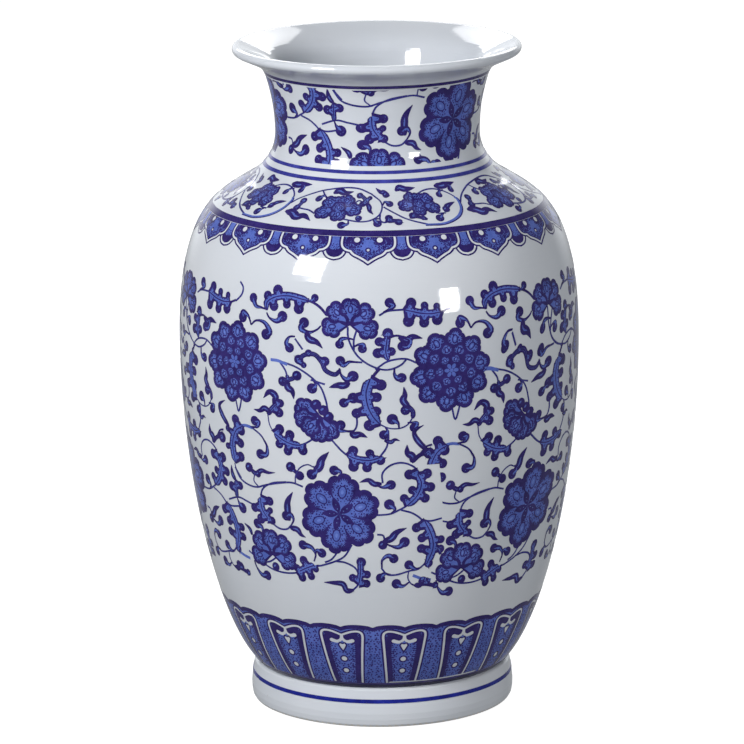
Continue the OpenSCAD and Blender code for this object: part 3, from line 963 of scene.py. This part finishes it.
CERAMIC = ["foot_ring", "base_plate", "lower_body", "upper_body", "neck", "mouth_rim"]
SLIPS = ["base_joint_slip", "foot_joint_slip", "belly_joint_slip", "neck_joint_slip", "rim_joint_slip"]
SHOULDER_START = 236      # height where the shoulder and collar drawings have v = 0
PETAL_START = 19.6        # and where the petal band has it
BARE_EDGE = 0.001         # below this height the foot has no glaze, in metres

# The part of the body's sheet that the neck's print is cut from, and how far it goes round and up
NECK_CUT = (95.7, 133.1)
NECK_TURN = 59.5
NECK_RISE = 182.5
NECK_SLIP = 2.2

# How many times each band's motif runs round the vase, and where its row starts
VINES = 5
LAPPETS = 17
LAPPET_TURN = -4.5
PETALS = 16
PETAL_TURN = 10.5


def shift(du):
    """Moves a print round the vase."""
    return lambda flat: flat + (du, 0)


def slipped(du, slip, below):
    """Moves a body sheet round the vase; below a height its left part slipped as it was laid."""
    def move(flat):
        low = np.clip((below - flat[:, 1]) / 15, 0, 1)
        left = 1 - 0.8 * np.clip((flat[:, 0] + 25) / 25, 0, 1)
        return flat + (du, 0) + np.array(slip) * (low * left)[:, None]
    return move


def slipped_neck(du):
    """Moves a neck print round and up; near the front its right part slipped further round."""
    def move(flat):
        at = flat + (du, NECK_RISE)
        right = np.clip((at[:, 0] + 16) / 8, 0, 1) * np.clip((75 - at[:, 0]) / 15, 0, 1)
        return at + np.stack([NECK_SLIP * right, np.zeros(len(at))], -1)
    return move


def build_ceramic():
    """Glaze all over, but for the foot's edge, which stood bare on the kiln shelf."""
    glazed = porcelain()
    for name in CERAMIC + SLIPS:
        paint(name, glazed)
    foot = NODES["foot_ring"]
    foot.data.materials.append(bare_porcelain())
    for face in foot.data.polygons:
        if (foot.matrix_world @ face.center).z < BARE_EDGE:
            face.material_index = 1


def paint(name, material):
    """Gives a CAD node one material."""
    slots = NODES[name].data.materials
    slots.clear()
    slots.append(material)


def build_prints():
    """Every transfer as a printed film, and the inks of the painted lines."""
    wall = Wall(["lower_body", "upper_body", "neck", "mouth_rim"], 20, 318)
    inks = [
        cobalt("cobalt_deep", (0.035, 0.022, 0.17), (0.016, 0.008, 0.095), 900),
        cobalt("cobalt_wash", (0.12, 0.18, 0.58), (0.06, 0.10, 0.40), 1400),
        cobalt("cobalt_thin", (0.17, 0.25, 0.66), (0.11, 0.18, 0.54), 1400),
        cobalt("cobalt_stroke", (0.045, 0.045, 0.26), (0.022, 0.02, 0.15), 900),
    ]
    brushed = cobalt("cobalt_line", (0.05, 0.06, 0.36), (0.02, 0.018, 0.19), 300)
    bright = cobalt("cobalt_bright", (0.012, 0.022, 0.30), (0.005, 0.008, 0.16), 300)
    # The heel line's ink: its dark cobalt with painted shade from the crease where the body meets the
    # foot, a near-black colour and a weak gloss
    crease_shade_ink = cobalt("cobalt_deep_with_crease_shade", (0.012, 0.008, 0.06), (0.006, 0.004, 0.035), 900, 0.15)

    def straight_up(radius):
        """Lays v on the wall as height, with u true at a radius."""
        return lambda flat: (flat[:, 0] / radius, flat[:, 1])

    def up_the_wall(radius, start):
        """Lays v on the wall as way up it from a starting height."""
        return lambda flat: (flat[:, 0] / radius, wall.height_at(flat[:, 1], start))

    on_body = straight_up(BODY_R)
    on_shoulder = up_the_wall(SHOULDER_R, SHOULDER_START)

    sheet = body_scroll()
    whole = cut(sheet, 4)
    sheet.fill([(-95, 146), (-76, 146), (-74, 128), (-73, 112), (-78, 100), (-95, 100)], NONE)
    torn = cut(sheet, 4)
    sheet.fill([(-15, 60), (80, 60), (80, 240), (-15, 240)], NONE)
    end = cut(sheet, 4)
    laid = [(whole, 0, (0, 0), 205), (torn, 1, (-6, -5.5), 205), (torn, 2, (-2, 2), 170),
            (whole, 3, (2, -2), 150), (whole, -1, (-4, 1.5), 165)]
    for i, (print_cut, turn, slip, below) in enumerate(laid):
        name = f"body_scroll_sheet_{i + 1}"
        film(f"{name}_print", name, wall, [(print_cut, slipped(turn * TILE, slip, below))], on_body, inks)
    film("body_scroll_end_print", "body_scroll_end_sheet", wall, [(end, shift(4 * TILE))], on_body, inks)

    band = body_scroll()
    low, high = NECK_CUT
    band.fill([(-100, 50), (80, 50), (80, low), (-100, low)], NONE)
    band.fill([(-100, high), (80, high), (80, 240), (-100, 240)], NONE)
    trimmed = cut(band, 2.5)
    rows = [(trimmed, slipped_neck(NECK_TURN + k * TILE)) for k in (-1, 0, 1)]
    film("neck_scroll", "neck_scroll_transfer", wall, rows, straight_up(NECK_R), inks)

    vine = cut(shoulder_scroll(), 2.5)
    repeat = TURN * SHOULDER_R / VINES
    rows = [(vine, shift(k * repeat)) for k in range(VINES)]
    film("shoulder_scroll", "shoulder_scroll_transfer", wall, rows, on_shoulder, inks)

    rows = [(cut(collar(LAPPETS, TURN * SHOULDER_R), 3), shift(LAPPET_TURN))]
    film("collar", "collar_transfer", wall, rows, on_shoulder, inks)

    around = TURN * PETAL_R
    rows = [(cut(petals_band(PETALS, around), 3.5), shift(PETAL_TURN + around / (2 * PETALS)))]
    film("petal_band", "petal_transfer", wall, rows, up_the_wall(PETAL_R, PETAL_START), inks)

    for name in ("neck_lower_line", "neck_upper_line"):
        paint(name, brushed)
    for name in ("neck_top_line", "shoulder_line"):
        paint(name, inks[0])
    paint("foot_line", bright)
    # The heel line in the crease gets the ink with painted crease shade
    paint("heel_line", crease_shade_ink)


# ---- the studio

EYE = (0, -2.472, 0.737)  # where the camera stands, in metres
LENS = 247.3              # its focal length in mm, on a 36 mm sensor
LOOK_DOWN = 13.04         # how far it looks down and how far it leans, in degrees
LEAN = -0.51
SHIFT = -0.0102           # how far the picture is shifted sideways, in picture widths


def look_through():
    """The camera, above the mouth and a long way back, looking slightly down."""
    camera = bpy.data.cameras.new("camera")
    camera.lens = LENS
    camera.sensor_width = 36
    camera.shift_x = SHIFT
    camera.clip_start = 0.05
    camera.clip_end = 60
    eye = added("camera", camera)
    tilt = Matrix.Rotation(math.radians(90 - LOOK_DOWN), 4, "X")
    roll = Matrix.Rotation(math.radians(LEAN), 4, "Z")
    eye.matrix_world = Matrix.Translation(EYE) @ tilt @ roll
    bpy.context.scene.camera = eye


LAMP_REACH = 1.8          # how far each lamp stands from the vase's shoulder, in metres
SHOULDER = Vector((0, 0, 0.235))


def softbox(name, azimuth, elevation, width, height, radiance):
    """A soft lamp that faces the vase's shoulder from a given direction."""
    a = math.radians(azimuth)
    e = math.radians(elevation)
    light = bpy.data.lights.new(name, "AREA")
    light.shape = "RECTANGLE"
    light.size = width
    light.size_y = height
    light.energy = radiance * math.pi * width * height
    lamp = added(name, light)
    way = Vector((math.sin(a) * math.cos(e), -math.cos(a) * math.cos(e), math.sin(e)))
    lamp.location = SHOULDER + LAMP_REACH * way
    lamp.rotation_euler = (SHOULDER - lamp.location).to_track_quat("-Z", "Y").to_euler()


def glowing(name, diffuse, glow):
    """White paper that shows pale whatever light reaches it."""
    material, _, main = shader(name, (diffuse, diffuse, diffuse), 0.9)
    main.inputs["Specular IOR Level"].default_value = 0.0
    main.inputs["Emission Color"].default_value = (1, 1, 1, 1)
    main.inputs["Emission Strength"].default_value = glow
    return material


def build_floor():
    """A white floor and, far off, a white wall all round; neither sheds light on the vase."""
    half = 14.0
    high = 9.0
    below = -0.0002
    corners = [(-half, -half), (half, -half), (half, half), (-half, half)]
    floor_mesh = bpy.data.meshes.new("floor")
    floor_mesh.from_pydata([(x, y, below) for x, y in corners], [], [(0, 1, 2, 3)])
    wall_mesh = bpy.data.meshes.new("backdrop")
    wall_mesh.from_pydata([(x, y, z) for z in (0, high) for x, y in corners], [],
                          [(i, (i + 1) % 4, (i + 1) % 4 + 4, i + 4) for i in range(4)] + [(4, 5, 6, 7)])
    for mesh, diffuse, glow in ((floor_mesh, 0.3, 0.96), (wall_mesh, 0.0, 1.0)):
        stage = added(mesh.name, mesh)
        mesh.materials.append(glowing(f"{mesh.name}_paper", diffuse, glow))
        stage.visible_diffuse = False
        stage.visible_glossy = False
        stage.visible_shadow = False


def rising(tree, value, start, stop, bottom):
    """Runs smoothly from bottom to 1 as the value goes from start to stop."""
    node = tree.nodes.new("ShaderNodeMapRange")
    node.interpolation_type = "SMOOTHSTEP"
    for socket, number in (("From Min", start), ("From Max", stop), ("To Min", bottom), ("To Max", 1)):
        node.inputs[socket].default_value = number
    tree.links.new(value, node.inputs["Value"])
    return node.outputs["Result"]


ROOM = 0.19               # how bright the dim room is, and how much brighter the wall behind the vase
PALE_WALL = 1.1


def build_studio():
    """Two windows in front, a big soft one behind, and a dim room with a pale wall behind the vase."""
    scene = bpy.context.scene
    scene.view_settings.view_transform = "Standard"
    world = bpy.data.worlds.new("room")
    scene.world = world
    world.use_nodes = True
    tree = world.node_tree
    way = tree.nodes.new("ShaderNodeSeparateXYZ")
    tree.links.new(tree.nodes.new("ShaderNodeTexCoord").outputs["Generated"], way.inputs[0])
    both = tree.nodes.new("ShaderNodeMath")
    both.operation = "MULTIPLY"
    tree.links.new(rising(tree, way.outputs["Y"], 0.7, 0.95, 0), both.inputs[0])
    tree.links.new(rising(tree, way.outputs["Z"], -0.17, 0.05, 0.15), both.inputs[1])
    glow = tree.nodes.new("ShaderNodeMath")
    glow.operation = "MULTIPLY_ADD"
    glow.inputs[1].default_value = PALE_WALL
    glow.inputs[2].default_value = ROOM
    tree.links.new(both.outputs[0], glow.inputs[0])
    back = tree.nodes["Background"]
    back.inputs["Color"].default_value = (0.94, 0.97, 1.0, 1)
    tree.links.new(glow.outputs[0], back.inputs["Strength"])
    softbox("window_left", -44, 27, 0.54, 0.54, 31)
    softbox("window_right", 40.5, 7.6, 0.34, 0.28, 34)
    softbox("window_back", 180, 32, 1.4, 0.9, 3.4)


build_ceramic()
build_prints()
look_through()
build_floor()
build_studio()
